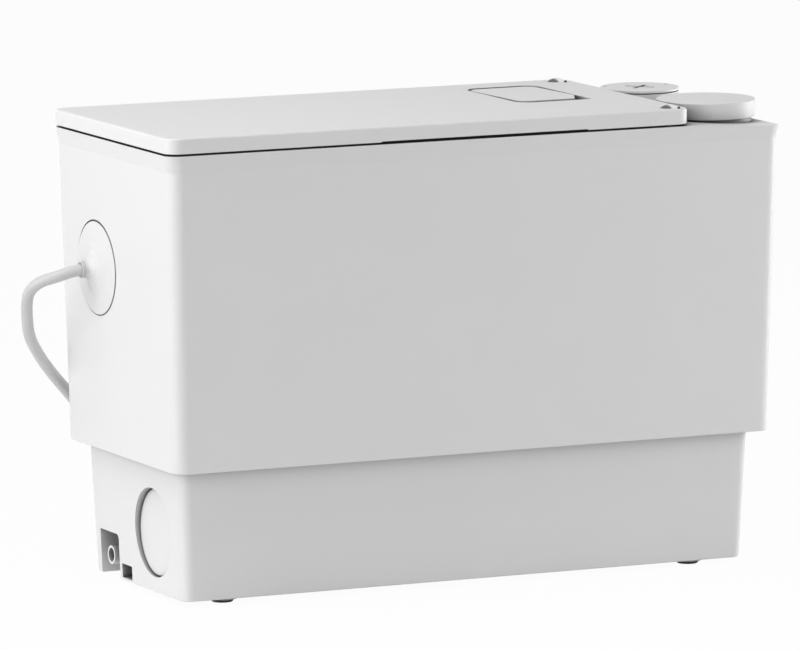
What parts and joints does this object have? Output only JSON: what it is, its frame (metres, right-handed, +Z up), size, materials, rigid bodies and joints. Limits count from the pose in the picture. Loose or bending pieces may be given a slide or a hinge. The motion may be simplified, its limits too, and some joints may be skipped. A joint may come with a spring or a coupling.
{
  "type": "drainage pump unit",
  "caption": "Floor-standing waste water lifting pump: narrow tank under an overhanging casing, flat lid with filter cover, capped ports on a sloping deck, mains cable.",
  "frame": {"origin": "on the floor, midway between the casing's two long sides and its two ends", "axes": "+X along the long side towards the deck with the round caps, +Y to the back, +Z up"},
  "size_m": [0.408, 0.2876, 0.2618],
  "materials": {
    "white_shell": "satin",
    "grey_plastic": "satin",
    "black_rubber": "matte",
    "grey_cable": "satin",
    "steel_fixings": "brushed",
    "copper_winding": "enamelled wire",
    "motor_paint": "painted",
    "cast_metal": "cast",
    "green_board": "lacquered",
    "carbon_foam": "open foam"
  },
  "bodies": {
    "housing": {"bearing_balls": "steel_fixings", "bearing_outer_rings": "steel_fixings", "cable_gland": "white_shell", "casing_screws": "steel_fixings", "check_valve_body": "grey_plastic", "control_board": "green_board", "control_box": "grey_plastic", "control_box_lid": "grey_plastic", "discharge_pipe": "grey_plastic", "inlet_drop_pipe": "grey_plastic", "inlet_lip_seal": "black_rubber", "inner_lead": "grey_cable", "lid_gasket": "black_rubber", "lower_tank": "white_shell", "mains_cable": "grey_cable", "mains_cable_coil": "grey_cable", "mains_plug": "grey_cable", "motor_bolts": "steel_fixings", "motor_can": "motor_paint", "motor_flange": "cast_metal", "outlet_pipe": "black_rubber", "outlet_seal": "black_rubber", "pressure_bell": "grey_plastic", "pressure_hose": "black_rubber", "pressure_switch_base": "grey_plastic", "pressure_switch_body": "grey_plastic", "pump_column": "grey_plastic", "rubber_feet": "black_rubber", "seal_seat": "grey_plastic", "side_inlet_seals": "black_rubber", "start_capacitor": "grey_plastic", "stator_core": "steel_fixings", "stator_windings": "copper_winding", "suction_cover": "grey_plastic", "tank_cover": "grey_plastic", "tank_cover_gasket": "black_rubber", "tank_cover_screws": "steel_fixings", "upper_casing": "white_shell", "vibration_bushes": "black_rubber", "volute_casing": "grey_plastic", "volute_screws": "steel_fixings"},
    "rotor": {"motor_shaft": "steel_fixings", "rotor_core": "steel_fixings", "impeller": "grey_plastic", "impeller_nut": "steel_fixings", "seal_head": "steel_fixings", "bearing_inner_rings": "steel_fixings"},
    "lid_body": {"lid": "white_shell", "lid_screws": "steel_fixings", "filter_basket": "grey_plastic"},
    "filter_cover_body": {"filter_cover": "white_shell", "carbon_filter": "carbon_foam"},
    "inlet_cap_body": {"inlet_cap": "white_shell"},
    "outlet_plug_body": {"outlet_plug": "white_shell"},
    "left_inlet_plug_body": {"left_inlet_plug": "white_shell"},
    "right_inlet_plug_body": {"right_inlet_plug": "white_shell"},
    "check_valve_flap_body": {"check_valve_flap": "black_rubber"},
    "drain_bung_body": {"drain_bung": "black_rubber"},
    "switch_plunger_body": {"switch_plunger": "grey_plastic"}
  },
  "joints": [
    {"name": "rotor_spin", "type": "hinge", "parent": "housing", "child": "rotor", "pos_m": [-0.04, 0.008, 0.1], "axis": [0, 0, 1], "continuous": true},
    {"name": "lid_tilt", "type": "hinge", "parent": "housing", "child": "lid_body", "pos_m": [-0.1865, 0, 0.25125], "axis": [0, -1, 0], "range_deg": [0, 60]},
    {"name": "filter_cover_lift", "type": "slide", "parent": "lid_body", "child": "filter_cover_body", "axis": [0, 0, 1], "range_m": [0, 0.03]},
    {"name": "inlet_cap_lift", "type": "slide", "parent": "housing", "child": "inlet_cap_body", "axis": [0, 0, 1], "range_m": [0, 0.02]},
    {"name": "outlet_plug_turn", "type": "hinge", "parent": "housing", "child": "outlet_plug_body", "pos_m": [0.1575, 0.041, 0.251], "axis": [0, 0, 1], "range_deg": [0, 90]},
    {"name": "left_inlet_plug_pull", "type": "slide", "parent": "housing", "child": "left_inlet_plug_body", "axis": [-1, 0, 0], "range_m": [0, 0.025]},
    {"name": "right_inlet_plug_pull", "type": "slide", "parent": "housing", "child": "right_inlet_plug_body", "axis": [1, 0, 0], "range_m": [0, 0.025]},
    {"name": "check_flap_swing", "type": "hinge", "parent": "housing", "child": "check_valve_flap_body", "pos_m": [0.1635, 0.041, 0.1586], "axis": [0, 1, 0], "range_deg": [0, 55]},
    {"name": "drain_bung_pull", "type": "slide", "parent": "housing", "child": "drain_bung_body", "axis": [-1, 0, 0], "range_m": [0, 0.025]},
    {"name": "switch_plunger_rise", "type": "slide", "parent": "housing", "child": "switch_plunger_body", "axis": [0, 0, 1], "range_m": [0, 0.0015], "stiffness_N_per_m": 600}
  ]
}
